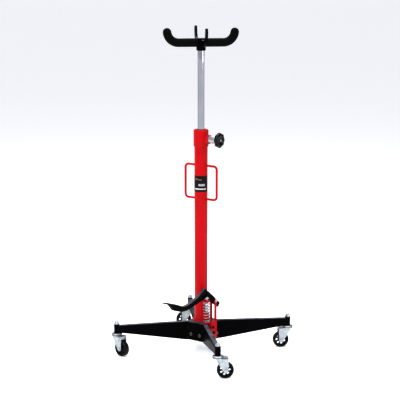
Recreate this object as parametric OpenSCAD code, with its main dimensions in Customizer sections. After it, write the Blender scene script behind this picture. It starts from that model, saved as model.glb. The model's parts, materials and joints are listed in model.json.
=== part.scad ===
// Telescopic transmission jack: four wheeled legs, a foot pump, a hydraulic column and a four-arm saddle.
// The origin is on the floor, midway between the four casters. Legs lie along X and Y.
// The pump, the grab handles and the clamp knob lie along one diagonal between two legs.

/* [Base] */
// Distance from the base centre to each caster stem
caster_reach = 405; // [360:5:480]
// Width of a leg channel across its two walls
leg_w = 26; // [24:1:32]
// Height of the flat top of a leg where it meets the base
leg_root_top = 147; // [140:1:155]
// Height of the lower edge of a leg where it meets the base
leg_root_low = 60; // [55:1:66]
// Height of the top of a leg beside its caster socket
leg_tip_top = 141; // [135:1:145]
// Height of the lower edge of a leg beside its caster socket
leg_tip_low = 108; // [106:1:114]
// Thickness of the folded leg sheet
leg_wall = 4; // [3:0.5:5]
// Half the width of the square base box across its flats
box_half = 56; // [54:1:58]
// Distance of each leg bolt from the middle of its base face
leg_bolt_off = 25; // [23:0.5:26]

/* [Casters] */
// Radius of a caster wheel
wheel_r = 37.5; // [34:0.5:38]
// Width of a caster wheel across its rim
wheel_w = 26; // [20:1:28]
// Number of round windows in a wheel
wheel_windows = 7; // [5:1:8]
// Distance from a caster stem back to its wheel axle
caster_trail = 33; // [28:1:36]
// Swivel angle of the left caster at rest
left_swivel = -51; // [-60:1:0]

/* [Column] */
// Offset of the column from the base centre, away from the pump
column_off = 12; // [8:1:14]
// Outer diameter of the column
column_d = 60; // [58:1:62]
// Height of the top of the column
column_top = 1045; // [1035:1:1048]
// Height of the thicker collar at the top of the column
collar_h = 78; // [70:1:90]
// Outer diameter of that collar
collar_d = 68; // [66:1:72]
// Outer diameter of the chromed ram
ram_d = 30; // [28:1:30]
// Height of the saddle hub's lower face as stored
hub_low = 1402; // [1400:1:1410]

/* [Saddle] */
// Height of the saddle bar's centre line
saddle_z = 1437; // [1434:1:1445]
// Half the straight length of the saddle bar
bar_half = 102; // [95:1:120]
// Bend radius of the upturned ends
bar_bend = 52; // [45:1:60]
// Angle through which each end turns up
bar_turn = 84; // [75:1:88]
// Diameter of the soft sleeves
sleeve_d = 38; // [34:1:40]
// Thickness of the plain front and rear arms
arm_t = 10; // [8:1:12]

/* [Handles and knob] */
// Distance of a grab handle's upright from the column centre
handle_reach = 88; // [80:1:100]
// Height of the lower rung of a grab handle
handle_low = 725; // [700:1:740]
// Height of the upper rung of a grab handle
handle_high = 880; // [855:1:890]
// Diameter of the handle rod
handle_rod = 10; // [9:0.5:12]
// Height of the clamp knob's axis
knob_z = 1002; // [1000:1:1008]
// Overall diameter of the star knob
knob_d = 70; // [60:1:76]

/* [Foot pump] */
// Distance of the pump from the base centre, along the diagonal
pump_v = 48; // [46:1:50]
// Distance of the plunger from that diagonal, towards the pedal
plunger_u = 37; // [35:1:39]
// Distance of the lever's pivot from that diagonal, away from the pedal
pivot_u = 15; // [13:1:17]
// Height of the lever's pivot
pivot_z = 247; // [244:1:250]
// Distance of the pedal's tip from the diagonal
pedal_tip_u = 350; // [345:1:360]
// Outer diameter of the return spring
spring_d = 36; // [34:1:38]
// Number of turns of the return spring
spring_turns = 8; // [7:1:9]

/* [Hidden] */
$fn = 48;
gap = 0.4;
red = [0.78, 0.07, 0.09];
black = [0.03, 0.03, 0.035];
zinc = [0.74, 0.75, 0.76];
chrome = [0.82, 0.83, 0.85];
// Base
wing_t = 5;
box_wall = 6;
plate_half = 43;
plate_side = 35;
plate_t = 4;
leg_start = box_half * sqrt(2) - 20;
leg_bolt_r = 4.2;
leg_bolt_z = 90;
socket_r = 12.5;
socket_low = 105;
socket_high = 147;
stem_r = 8;
// Caster heights
race_low = 100;
race_r = 25;
crown_high = 96;
crown_low = 92;
fork_in = 16;
fork_t = 3;
axle_r = 4;
swivels = [180, 180, left_swivel, 0];
// Column, as radii and heights
column_r = column_d / 2;
tube_in = column_r - 3;
tube_low = leg_root_top + plate_t;
collar_low = column_top - collar_h;
collar_r = collar_d / 2;
ram_r = ram_d / 2;
ram_low = 562;
ram_high = hub_low - gap;
spigot_r = 12;
spigot_h = 22;
cyl_r = 21;
cyl_in = 18;
gland_low = 985;
filler_z = 937;
label_low = 760;
label_h = 74;
// Knob
boss_r = 18;
boss_end = 92;
screw_r = 6;
knob_t = 19;
root_r = 20.5;
root_end = 50;
lobes = 8;
// Saddle
hub_r = 21;
hub_high = saddle_z + 20;
sleeve_r = sleeve_d / 2;
bar_r = 9;
arm_h = 26;
// Pump
block_v = [box_half + wing_t + gap, 76];
block_u = [-5, 40];
foot_v = [29.5, 64];
block_mid = (block_v[0] + block_v[1]) / 2;
block_low = 76;
foot_low = tube_low;
foot_high = foot_low + 5;
pump_r = 11;
plunger_r = 8;
spring_wire = 4;
spring_top = 251;
cap_high = 257;
head_high = 266;
link_v = 9;
link_t = 6;
lever_t = 16;
lever_h = 22;
tread_t = 5;
tread_w = 46;
// Lever centre line as distance towards the pedal and height
lever_bend = [[60, 306], [86, 292], [120, 278], [165, 265], [209, 260], [244, 264], [276, 274], [290, 280]];
// Tapered end of the lever under its tread, from the top edge to the lower one
lever_toe = [[298, 294.2], [327, 303.3], [313, 289.5]];
lever_path = concat([[-50, 218.7], [-15, 247], [20, 275]], smooth(lever_bend, 2));
tread_path = smooth([[262, 269], [302, 285], [330, 294], [pedal_tip_u, 299]], 4);

// Places its children at the column's own axis
module at_column() {
    rotate([0, 0, -45])
        translate([-column_off, 0, 0])
            children();
}

// Turns its children so that X runs out along the pump diagonal and -Y runs towards the pedal
module on_diagonal() {
    rotate([0, 0, -45])
        children();
}

// Places its children at the caster stem of one leg, turned to that caster's swivel angle
module at_caster(i) {
    rotate([0, 0, 90 * i])
        translate([caster_reach, 0, 0])
            rotate([0, 0, swivels[i] - 90 * i])
                children();
}

// Extrudes a side outline drawn in X and Z to a width centred on Y
module side_profile(width) {
    rotate([90, 0, 0])
        linear_extrude(width, center = true)
            children();
}

// A ring with a straight bore
module ring(r_out, r_in, h) {
    difference() {
        cylinder(r = r_out, h = h);
        translate([0, 0, -1])
            cylinder(r = r_in, h = h + 2);
    }
}

// A hexagon bolt head or nut standing along Z
module hex(flats, h) {
    cylinder(r = flats / 2 / cos(30), h = h, $fn = 6);
}

// --- Base and legs ---

// Square box, closed on top, that carries the column and takes the leg bolts
module base_box() {
    color(black)
        difference() {
            on_diagonal()
                translate([-box_half, -box_half, leg_root_low])
                    cube([2 * box_half, 2 * box_half, leg_root_top - leg_root_low]);
            on_diagonal()
                translate([box_wall - box_half, box_wall - box_half, leg_root_low - 1])
                    cube([2 * (box_half - box_wall), 2 * (box_half - box_wall), leg_root_top - leg_root_low - 5]);
            leg_bolt_places()
                translate([0, 0, -30])
                    cylinder(r = leg_bolt_r, h = 40);
        }
}

// Painted plate at the foot of the column, welded on the box
module top_plate() {
    color(red)
        on_diagonal()
            translate([-plate_half, -plate_side, leg_root_top])
                cube([2 * plate_half, 2 * plate_side, plate_t]);
}

// Visits every leg bolt, with Z pointing out of the base face
module leg_bolt_places() {
    for (a = [0:3], s = [-1, 1])
        rotate([0, 0, 45 + 90 * a])
            translate([box_half + wing_t, s * leg_bolt_off, leg_bolt_z])
                rotate([0, 90, 0])
                    children();
}

// Side outline of a leg up to a given reach, grown downwards by drop and inwards by inset at the top
module leg_outline(reach, inset, drop) {
    polygon([
        [leg_start, leg_root_low - drop],
        [leg_start, leg_root_top - inset],
        [leg_start + 20, leg_root_top - inset],
        [reach, leg_tip_top - inset],
        [reach, leg_tip_low - drop],
        [leg_start + 20, leg_root_low - drop]
    ]);
}

// Flange that lies on one face of the base box and takes one bolt of the leg
module leg_wing(side) {
    rotate([0, 0, side * 45])
        translate([box_half, side > 0 ? 8 - box_half : 0.5, leg_root_low + 2])
            cube([wing_t, box_half - 8.5, leg_root_top - leg_root_low - 4]);
}

// One leg lying along +X: a channel open below, two bolted wings and the caster socket
module leg() {
    color(black)
        difference() {
            union() {
                difference() {
                    side_profile(leg_w)
                        leg_outline(caster_reach - 6, 0, 0);
                    side_profile(leg_w - 2 * leg_wall)
                        leg_outline(caster_reach - socket_r - 3, leg_wall, 30);
                }
                leg_wing(1);
                leg_wing(-1);
                translate([caster_reach, 0, socket_low])
                    cylinder(r = socket_r, h = socket_high - socket_low);
            }
            translate([caster_reach, 0, socket_low - 1])
                cylinder(r = stem_r, h = socket_high - socket_low + 2);
            rotate([0, 0, 45])
                translate([-box_half, -box_half, 0])
                    cube([2 * box_half, 2 * box_half, 300]);
            for (s = [-1, 1])
                rotate([0, 0, s * 45])
                    translate([box_half - 1, -s * leg_bolt_off, leg_bolt_z])
                        rotate([0, 90, 0])
                            cylinder(r = leg_bolt_r, h = wing_t + 2);
        }
}

module leg_right() {
    leg();
}

module leg_rear() {
    rotate([0, 0, 90])
        leg();
}

module leg_left() {
    rotate([0, 0, 180])
        leg();
}

module leg_front() {
    rotate([0, 0, 270])
        leg();
}

// Eight hexagon bolts, two on each face of the base box
module leg_bolts() {
    color(black)
        leg_bolt_places() {
            hex(13, 5.5);
            translate([0, 0, -18])
                cylinder(r = leg_bolt_r - 0.2, h = 18);
        }
}

// --- Casters ---

// Four threaded stems that hold the casters in their sockets
module caster_stems() {
    color(zinc)
        for (i = [0:3])
            at_caster(i) {
                translate([0, 0, crown_low - 3])
                    cylinder(r = stem_r, h = socket_high + 8 - crown_low + 3);
                translate([0, 0, crown_low - 3 - gap])
                    cylinder(r = 12, h = 3);
            }
}

// Four washers with domed cap nuts on top of the sockets
module caster_nuts() {
    color(zinc)
        for (i = [0:3])
            at_caster(i)
                difference() {
                    union() {
                        translate([0, 0, socket_high])
                            cylinder(r = 12, h = 2);
                        translate([0, 0, socket_high + 2])
                            hex(19, 7);
                        translate([0, 0, socket_high + 9])
                            dome(8.5, 7);
                    }
                    translate([0, 0, socket_high - 1])
                        cylinder(r = stem_r, h = 9);
                }
}

// A round cap with a curved top
module dome(r, h) {
    rotate_extrude()
        polygon(concat([[0, 0], [r, 0]], [for (a = [15:15:75]) [r * cos(a), h * sin(a)]], [[0, h]]));
}

// Four fixed upper plates of the swivel bearings
module caster_races() {
    color(zinc)
        for (i = [0:3])
            at_caster(i)
                translate([0, 0, race_low])
                    ring(race_r, stem_r, socket_low - race_low);
}

// Four thrust rings between the fixed plates and the forks
module swivel_bearings() {
    color("dimgray")
        for (i = [0:3])
            at_caster(i)
                translate([0, 0, crown_high + gap])
                    ring(19, stem_r + 2, race_low - crown_high - gap);
}

// Pressed fork that swivels on its stem and holds a wheel behind it
module fork(i) {
    color(zinc)
        at_caster(i) {
            difference() {
                translate([0, 0, crown_low])
                    linear_extrude(crown_high - crown_low) {
                        circle(r = 24);
                        translate([0, -fork_in - fork_t])
                            square([caster_trail + 12, 2 * (fork_in + fork_t)]);
                    }
                translate([0, 0, crown_low - 1])
                    cylinder(r = stem_r + 0.05, h = 10);
            }
            for (s = [-1, 1])
                translate([0, s * (fork_in + fork_t / 2), 0])
                    difference() {
                        side_profile(fork_t)
                            fork_cheek();
                        translate([caster_trail, 0, wheel_r])
                            rotate([90, 0, 0])
                                cylinder(r = axle_r, h = 10, center = true);
                    }
        }
}

// Side outline of a fork cheek, from the crown down to the axle
module fork_cheek() {
    polygon([
        [-8, crown_high],
        [-8, crown_low],
        [caster_trail - 9.8, wheel_r + 2],
        [caster_trail + 9.8, wheel_r + 2],
        [caster_trail + 12, crown_high]
    ]);
    translate([caster_trail, wheel_r])
        circle(r = 10);
}

module fork_right() {
    fork(0);
}

module fork_rear() {
    fork(1);
}

module fork_left() {
    fork(2);
}

module fork_front() {
    fork(3);
}

// Places its children at a wheel's centre with Z along its axle
module at_wheel(i) {
    at_caster(i)
        translate([caster_trail, 0, wheel_r])
            rotate([90, 0, 0])
                children();
}

// One-piece wheel with a thick rim, a thin web with round windows and a bored hub
module wheel(i) {
    rim = wheel_w / 2;
    color(black)
        at_wheel(i)
            difference() {
                rotate_extrude($fn = 72)
                    polygon([
                        [axle_r + 0.05, -15], [10, -15], [11, -6], [27, -6], [28.5, -rim],
                        [34.5, -rim], [wheel_r, 3 - rim], [wheel_r, rim - 3], [34.5, rim],
                        [28.5, rim], [27, 6], [11, 6], [10, 15], [axle_r + 0.05, 15]
                    ]);
                for (k = [1:wheel_windows])
                    rotate([0, 0, 360 / wheel_windows * k])
                        translate([19.2, 0, -10])
                            cylinder(r = 6.2, h = 20);
            }
}

module wheel_right() {
    wheel(0);
}

module wheel_rear() {
    wheel(1);
}

module wheel_left() {
    wheel(2);
}

module wheel_front() {
    wheel(3);
}

// Axle bolt through the cheeks, with a head and a nut
module axle(i) {
    half = fork_in + fork_t;
    color(zinc)
        at_wheel(i) {
            translate([0, 0, -half])
                cylinder(r = axle_r, h = 2 * half);
            translate([0, 0, half])
                hex(13, 4);
            translate([0, 0, -half - 4])
                hex(13, 4);
        }
}

module axle_right() {
    axle(0);
}

module axle_rear() {
    axle(1);
}

module axle_left() {
    axle(2);
}

module axle_front() {
    axle(3);
}

// --- Column ---

// Painted outer tube that also holds the oil
module outer_tube() {
    color(red)
        at_column()
            difference() {
                translate([0, 0, tube_low])
                    cylinder(r = column_r, h = collar_low - tube_low, $fn = 96);
                translate([0, 0, tube_low + 8])
                    cylinder(r = tube_in, h = collar_low, $fn = 96);
                rotate([0, 0, -84])
                    translate([column_r - 6, 0, filler_z])
                        rotate([0, 90, 0])
                            cylinder(r = 5, h = 12);
            }
}

// Thicker head of the column, bored for the gland and for the clamp screw
module top_collar() {
    color(red)
        at_column()
            difference() {
                union() {
                    translate([0, 0, collar_low])
                        cylinder(r = collar_r, h = collar_h - 3, $fn = 96);
                    translate([0, 0, column_top - 3])
                        cylinder(r1 = collar_r, r2 = collar_r - 3, h = 3, $fn = 96);
                    translate([20, 0, knob_z])
                        rotate([0, 90, 0])
                            difference() {
                                cylinder(r = root_r, h = root_end - 20);
                                translate([0, 0, -1])
                                    cylinder(r = boss_r + 0.05, h = root_end);
                            }
                }
                translate([0, 0, collar_low - 1])
                    cylinder(r = tube_in, h = gland_low - collar_low + 1, $fn = 96);
                translate([0, 0, gland_low - 1])
                    cylinder(r = 24, h = column_top - gland_low + 3, $fn = 96);
                translate([10, 0, knob_z])
                    rotate([0, 90, 0])
                        cylinder(r = boss_r - 6, h = 40);
            }
}

// Bronze guide that the ram slides through
module gland_nut() {
    color("darkgoldenrod")
        at_column()
            difference() {
                translate([0, 0, gland_low])
                    cylinder(r = 24, h = column_top - gland_low - 6, $fn = 96);
                translate([0, 0, gland_low - 1])
                    cylinder(r = ram_r + 0.05, h = 60, $fn = 96);
                translate([10, 0, knob_z])
                    rotate([0, 90, 0])
                        cylinder(r = 10.5, h = 40);
            }
}

// Rubber ring that wipes the ram
module wiper_seal() {
    color(black)
        at_column()
            translate([0, 0, column_top - 6])
                ring(24, ram_r + 0.05, 5);
}

// Steel pressure tube inside the column
module inner_cylinder() {
    color(zinc)
        at_column()
            translate([0, 0, tube_low + 8])
                ring(cyl_r, cyl_in, gland_low - tube_low - 8);
}

// Screwed plug of the oil filler
module filler_plug() {
    color(red)
        at_column()
            rotate([0, 0, -84])
                translate([column_r - 3, 0, filler_z])
                    rotate([0, 90, 0]) {
                        cylinder(r = 5, h = 3);
                        translate([0, 0, 3])
                            hex(13, 4);
                    }
}

// Thin plastic label wrapped round the near side of the tube
module label() {
    color("dimgray")
        at_column()
            rotate([0, 0, -155])
                translate([0, 0, label_low])
                    rotate_extrude(angle = 170, $fn = 96)
                        translate([column_r, 0])
                            square([0.4, label_h]);
}

// Bent rod handle that stands out along +X
module handle() {
    bend = 16;
    rod = handle_rod / 2;
    mid = handle_reach - bend;
    color(red)
        difference() {
            union() {
                for (z = [handle_low, handle_high])
                    translate([column_r - 4, 0, z])
                        rotate([0, 90, 0])
                            cylinder(r = rod, h = mid - column_r + 4);
                translate([handle_reach, 0, handle_low + bend])
                    cylinder(r = rod, h = handle_high - handle_low - 2 * bend);
                translate([mid, 0, handle_low + bend])
                    rotate([90, 0, 0])
                        rotate([0, 0, -90])
                            rotate_extrude(angle = 90)
                                translate([bend, 0])
                                    circle(r = rod);
                translate([mid, 0, handle_high - bend])
                    rotate([90, 0, 0])
                        rotate_extrude(angle = 90)
                            translate([bend, 0])
                                circle(r = rod);
            }
            translate([0, 0, handle_low - 20])
                cylinder(r = column_r, h = handle_high - handle_low + 40, $fn = 96);
        }
}

module handle_near() {
    at_column()
        handle();
}

module handle_far() {
    at_column()
        rotate([0, 0, 180])
            handle();
}

// --- Clamp ---

// Plated sleeve on the collar that guides the clamp screw
module clamp_boss() {
    color(zinc)
        at_column()
            difference() {
                translate([0, 0, knob_z])
                    rotate([0, 90, 0])
                        cylinder(r = boss_r, h = boss_end);
                translate([-1, 0, knob_z])
                    rotate([0, 90, 0])
                        cylinder(r = screw_r + 0.05, h = boss_end + 2);
                translate([0, 0, knob_z - 40])
                    cylinder(r = collar_r, h = 80, $fn = 96);
            }
}

// Screw turned by the knob
module clamp_screw() {
    color(zinc)
        at_column()
            translate([ram_r + 10, 0, knob_z])
                rotate([0, 90, 0])
                    cylinder(r = screw_r, h = boss_end + 14 - ram_r - 10);
}

// Moulded hand knob with rounded lobes
module star_knob() {
    core = knob_d / 2 - 5;
    color(black)
        at_column()
            translate([boss_end + 0.6, 0, knob_z])
                rotate([0, 90, 0])
                    difference() {
                        union() {
                            cylinder(r = core, h = knob_t - 4);
                            translate([0, 0, knob_t - 4])
                                cylinder(r1 = core, r2 = core - 5, h = 4);
                            for (k = [1:lobes])
                                rotate([0, 0, 360 / lobes * k])
                                    translate([core - 3, 0, 2])
                                        cylinder(r = 8, h = knob_t - 7);
                        }
                        translate([0, 0, -1])
                            cylinder(r = screw_r, h = 14.4);
                    }
}

// Brass pad on the end of the screw that presses on the ram
module clamp_pad() {
    color("goldenrod")
        at_column()
            translate([ram_r + gap, 0, knob_z])
                rotate([0, 90, 0])
                    cylinder(r = 10, h = 10 - gap);
}

// --- Ram ---

// Chromed ram with a spigot for the saddle
module ram() {
    color(chrome)
        at_column() {
            translate([0, 0, ram_low])
                cylinder(r = ram_r, h = ram_high - ram_low, $fn = 96);
            translate([0, 0, ram_high])
                cylinder(r = spigot_r, h = spigot_h, $fn = 96);
        }
}

// Piston head at the foot of the ram
module piston_head() {
    color(zinc)
        at_column()
            translate([0, 0, ram_low - 30])
                difference() {
                    cylinder(r = cyl_in - 0.05, h = 30, $fn = 96);
                    translate([0, 0, 12])
                        ring(cyl_in + 1, cyl_in - 3, 6);
                }
}

// Rubber ring in the piston's groove
module piston_seal() {
    color(black)
        at_column()
            translate([0, 0, ram_low - 18])
                ring(cyl_in - 0.05, cyl_in - 3, 6);
}

// --- Saddle ---

// Path of the bent bar: half the straight, one bend and a chosen end, out along +X
module bent_half(r, start, turn) {
    translate([start, 0, saddle_z])
        rotate([0, 90, 0])
            cylinder(r = r, h = bar_half - start);
    translate([bar_half, 0, saddle_z + bar_bend])
        rotate([90, 0, 0])
            rotate([0, 0, -90])
                rotate_extrude(angle = turn)
                    translate([bar_bend, 0])
                        circle(r = r);
}

// Socket that turns on the ram, with a cross bore for the bar
module saddle_hub() {
    color(black)
        at_column()
            difference() {
                translate([0, 0, hub_low])
                    cylinder(r = hub_r, h = hub_high - hub_low, $fn = 96);
                translate([0, 0, hub_low - 1])
                    cylinder(r = spigot_r + 0.05, h = spigot_h + 2, $fn = 96);
                rotate([0, 0, 45])
                    translate([-40, 0, saddle_z])
                        rotate([0, 90, 0])
                            cylinder(r = bar_r, h = 80);
            }
}

// Steel bar bent up at both ends
module saddle_bar() {
    color(black)
        at_column()
            rotate([0, 0, 45]) {
                bent_half(bar_r, 0, bar_turn - 4);
                rotate([0, 0, 180])
                    bent_half(bar_r, 0, bar_turn - 4);
            }
}

// Soft sleeve with a rounded end, pushed over one half of the bar
module sleeve() {
    color(black)
        difference() {
            union() {
                bent_half(sleeve_r, 0, bar_turn);
                translate([bar_half + bar_bend * sin(bar_turn), 0, saddle_z + bar_bend * (1 - cos(bar_turn))])
                    sphere(r = sleeve_r);
            }
            bent_half(bar_r, -1, bar_turn - 4);
            cylinder(r = hub_r, h = 2000, $fn = 96);
        }
}

module sleeve_right() {
    at_column()
        rotate([0, 0, 45])
            sleeve();
}

module sleeve_left() {
    at_column()
        rotate([0, 0, 225])
            sleeve();
}

// Plain plate arm with an upturned horn, out along +X
module arm() {
    low = saddle_z - arm_h / 2;
    in_r = bar_bend - arm_h / 2;
    out_r = bar_bend + arm_h / 2;
    color(black)
        difference() {
            side_profile(arm_t) {
                translate([0, low])
                    square([bar_half, arm_h]);
                intersection() {
                    translate([bar_half, saddle_z + bar_bend])
                        difference() {
                            circle(r = out_r, $fn = 96);
                            circle(r = in_r, $fn = 96);
                        }
                    translate([bar_half, low])
                        square([out_r, bar_bend + arm_h / 2]);
                }
                translate([bar_half + in_r, saddle_z + bar_bend - 1])
                    polygon([[0, 0], [arm_h, 0], [arm_h * 0.75, 18], [arm_h * 0.25, 18]]);
            }
            cylinder(r = hub_r, h = 2000, $fn = 96);
        }
}

module arm_front() {
    at_column()
        rotate([0, 0, -45])
            arm();
}

module arm_rear() {
    at_column()
        rotate([0, 0, 135])
            arm();
}

// --- Foot pump ---

// Places its children on the pump's own plane at a distance towards the pedal
module at_pump(u) {
    on_diagonal()
        translate([pump_v, -u, 0])
            children();
}

// Valve block on the base face with a foot that carries the pump
module pump_block() {
    color(red)
        difference() {
            union() {
                on_diagonal()
                    translate([block_v[0], -block_u[1], block_low])
                        cube([block_v[1] - block_v[0], block_u[1] - block_u[0], foot_low - block_low]);
                on_diagonal()
                    translate([0, 0, foot_low])
                        linear_extrude(foot_high - foot_low) {
                            translate([foot_v[0], -plunger_u])
                                square([foot_v[1] - foot_v[0], plunger_u + pivot_u + 8]);
                            translate([foot_v[0], 1 - block_u[1]])
                                square([block_v[1] - foot_v[0] - 1, block_u[1] - block_u[0] - 2]);
                            translate([pump_v, -plunger_u])
                                circle(r = 18, $fn = 48);
                        }
            }
            leg_bolt_places()
                translate([0, 0, -1])
                    cylinder(r = 9, h = 8);
            at_pump(plunger_u)
                translate([0, 0, foot_low - 1])
                    cylinder(r = pump_r, h = 20);
            release_place()
                translate([0, 0, -1])
                    cylinder(r = 4.05, h = 31);
            for (s = block_screw_spots())
                on_diagonal()
                    translate([block_v[0] - 1, s[0], s[1]])
                        rotate([0, 90, 0])
                            cylinder(r = 4, h = 40);
            on_diagonal()
                translate([block_mid, -6, foot_low - 16])
                    cylinder(r = 5, h = 17);
        }
}

// Distance along the base face and height of each screw that holds the valve block
function block_screw_spots() = [[-28, 133], [-22, 106]];

// Places its children at the underside of the block where the release screw enters
module release_place() {
    on_diagonal()
        translate([block_mid, -3, block_low])
            children();
}

// Pump barrel inside the return spring
module pump_cylinder() {
    color(zinc)
        at_pump(plunger_u)
            translate([0, 0, foot_low])
                ring(pump_r, plunger_r + 0.05, 50);
}

// Socket screws that hold the valve block to the base
module block_screws() {
    color(black)
        for (s = block_screw_spots())
            on_diagonal()
                translate([block_v[0], s[0], s[1]])
                    rotate([0, 90, 0]) {
                        cylinder(r = 4, h = block_v[1] - block_v[0]);
                        translate([0, 0, block_v[1] - block_v[0]])
                            difference() {
                                cylinder(r = 6.5, h = 4.5);
                                translate([0, 0, 2])
                                    hex(5, 4);
                            }
                    }
}

// Two valve balls in the passage of the block
module check_balls() {
    color(chrome)
        on_diagonal()
            for (z = [0, 8])
                translate([block_mid, -6, foot_low - 12 + z])
                    sphere(r = 3.5);
}

// Knurled screw that lets the oil back and lowers the ram
module release_screw() {
    color(zinc)
        release_place() {
            translate([0, 0, -2])
                cylinder(r = 4, h = 27);
            translate([0, 0, -14])
                cylinder(r = 7.5, h = 12, $fn = 12);
        }
}

// Two upright links that carry the lever's pivot
module fulcrum_links() {
    color(red)
        at_pump(-pivot_u)
            for (s = [-1, 1])
                translate([s * (link_v + link_t / 2), 0, 0])
                    difference() {
                        union() {
                            translate([-link_t / 2, -6, foot_high])
                                cube([link_t, 12, pivot_z - foot_high]);
                            translate([0, 0, pivot_z])
                                rotate([0, 90, 0])
                                    cylinder(r = 8, h = link_t, center = true);
                        }
                        translate([0, 0, pivot_z])
                            rotate([0, 90, 0])
                                cylinder(r = 5, h = link_t + 2, center = true);
                    }
}

// Pivot pin of the lever, with a head at each end
module fulcrum_pin() {
    half = link_v + link_t;
    color(zinc)
        at_pump(-pivot_u)
            translate([0, 0, pivot_z])
                rotate([0, 90, 0]) {
                    cylinder(r = 5, h = 2 * half, center = true);
                    for (s = [-1, 1])
                        translate([0, 0, s * (half + 1.5)])
                            cylinder(r = 8, h = 3, center = true);
                }
}

// Point on a smooth curve from p[k] to p[k + 1]
function curve_point(p, k, t) =
    let (
        a = p[max(k - 1, 0)],
        b = p[k],
        c = p[k + 1],
        d = p[min(k + 2, len(p) - 1)]
    )
    0.5 * (2 * b + (c - a) * t + (2 * a - 5 * b + 4 * c - d) * t * t + (3 * b - a - 3 * c + d) * t * t * t);

// Smooth curve through every point of p, with n steps between neighbours
function smooth(p, n) = concat(
    [for (k = [0:len(p) - 2], j = [0:n - 1]) curve_point(p, k, j / n)],
    [p[len(p) - 1]]
);

// Upward unit normal of the path segment that ends at point k
function path_normal(p, k) =
    let (j = min(max(k, 1), len(p) - 1), d = p[j] - p[j - 1])
    [-d[1], d[0]] / norm(d);

// Path moved sideways by a distance, mitred at its bends
function beside(p, off) = [
    for (k = [0:len(p) - 1])
        let (m = (path_normal(p, k) + path_normal(p, k + 1)) / 2)
        p[k] + off * m / (m * m)
];

// Flat outline of a band between two offsets from a path, with an optional shaped end
module band(path, low, high, toe = []) {
    far = beside(path, low);
    polygon(concat(beside(path, high), toe, [for (k = [len(far) - 1:-1:0]) far[k]]));
}

// Puts an outline drawn towards the pedal and up onto the pump plane, with a width across it
module pump_profile(width) {
    at_pump(0)
        rotate([90, 0, -90])
            linear_extrude(width, center = true)
                children();
}

// Bent lever with the pivot bore
module lever_bar() {
    color(black)
        difference() {
            pump_profile(lever_t)
                band(lever_path, -lever_h / 2, lever_h / 2, lever_toe);
            at_pump(-pivot_u)
                translate([0, 0, pivot_z])
                    rotate([0, 90, 0])
                        cylinder(r = 5.05, h = 60, center = true);
        }
}

// Flat-faced block under the lever that pushes the plunger
module press_pad() {
    color(zinc)
        difference() {
            pump_profile(lever_t)
                translate([plunger_u - 9, head_high + gap])
                    square([20, 24]);
            pump_profile(lever_t + 2)
                band(lever_path, -lever_h / 2, lever_h / 2);
        }
}

// Tread plate on the upturned end of the lever
module pedal_plate() {
    color(black)
        pump_profile(tread_w)
            band(tread_path, lever_h / 2, lever_h / 2 + tread_t);
}

// Plunger with a rounded head
module pump_plunger() {
    color(chrome)
        at_pump(plunger_u) {
            translate([0, 0, foot_low + 26])
                cylinder(r = plunger_r, h = head_high - foot_low - 30);
            translate([0, 0, head_high - 4])
                cylinder(r1 = plunger_r, r2 = plunger_r - 3, h = 4);
        }
}

// Cap that rests on the spring and is fixed to the plunger
module spring_cap() {
    color(red)
        at_pump(plunger_u)
            translate([0, 0, spring_top])
                ring(14, plunger_r, cap_high - spring_top);
}

// Point on the spring's helix
function helix(k, n, r, low, high) = let (a = 360 * spring_turns * k / n)
    [r * cos(a), r * sin(a), low + (high - low) * k / n];

// Round-wire return spring, swept as one closed mesh
module pump_spring() {
    n = spring_turns * 20;
    sides = 8;
    wire = spring_wire / 2;
    mid = spring_d / 2 - wire;
    rings = [
        for (k = [0:n])
            let (
                c = helix(k, n, mid, foot_high + wire + gap, spring_top - wire),
                a = 360 * spring_turns * k / n,
                out = [cos(a), sin(a), 0]
            )
            for (j = [0:sides - 1])
                c + wire * (out * cos(360 * j / sides) + [0, 0, 1] * sin(360 * j / sides))
    ];
    skin = [
        for (k = [0:n - 1], j = [0:sides - 1])
            let (a = k * sides + j, b = k * sides + (j + 1) % sides)
            for (face = [[a, b, a + sides], [b, b + sides, a + sides]])
                face
    ];
    ends = [[for (j = [sides - 1:-1:0]) j], [for (j = [0:sides - 1]) n * sides + j]];
    color(zinc)
        at_pump(plunger_u)
            polyhedron(points = rings, faces = concat(skin, ends));
}

base_box();
top_plate();
leg_right();
leg_rear();
leg_left();
leg_front();
leg_bolts();
caster_stems();
caster_nuts();
caster_races();
swivel_bearings();
fork_right();
fork_rear();
fork_left();
fork_front();
wheel_right();
wheel_rear();
wheel_left();
wheel_front();
axle_right();
axle_rear();
axle_left();
axle_front();
outer_tube();
top_collar();
gland_nut();
wiper_seal();
inner_cylinder();
filler_plug();
label();
handle_near();
handle_far();
clamp_boss();
clamp_screw();
star_knob();
clamp_pad();
ram();
piston_head();
piston_seal();
saddle_hub();
saddle_bar();
sleeve_right();
sleeve_left();
arm_front();
arm_rear();
pump_block();
pump_cylinder();
block_screws();
check_balls();
release_screw();
fulcrum_links();
fulcrum_pin();
lever_bar();
press_pad();
pedal_plate();
pump_plunger();
spring_cap();
pump_spring();
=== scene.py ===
import bmesh
import bpy
import json
import math
from mathutils import Matrix, Vector


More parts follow.
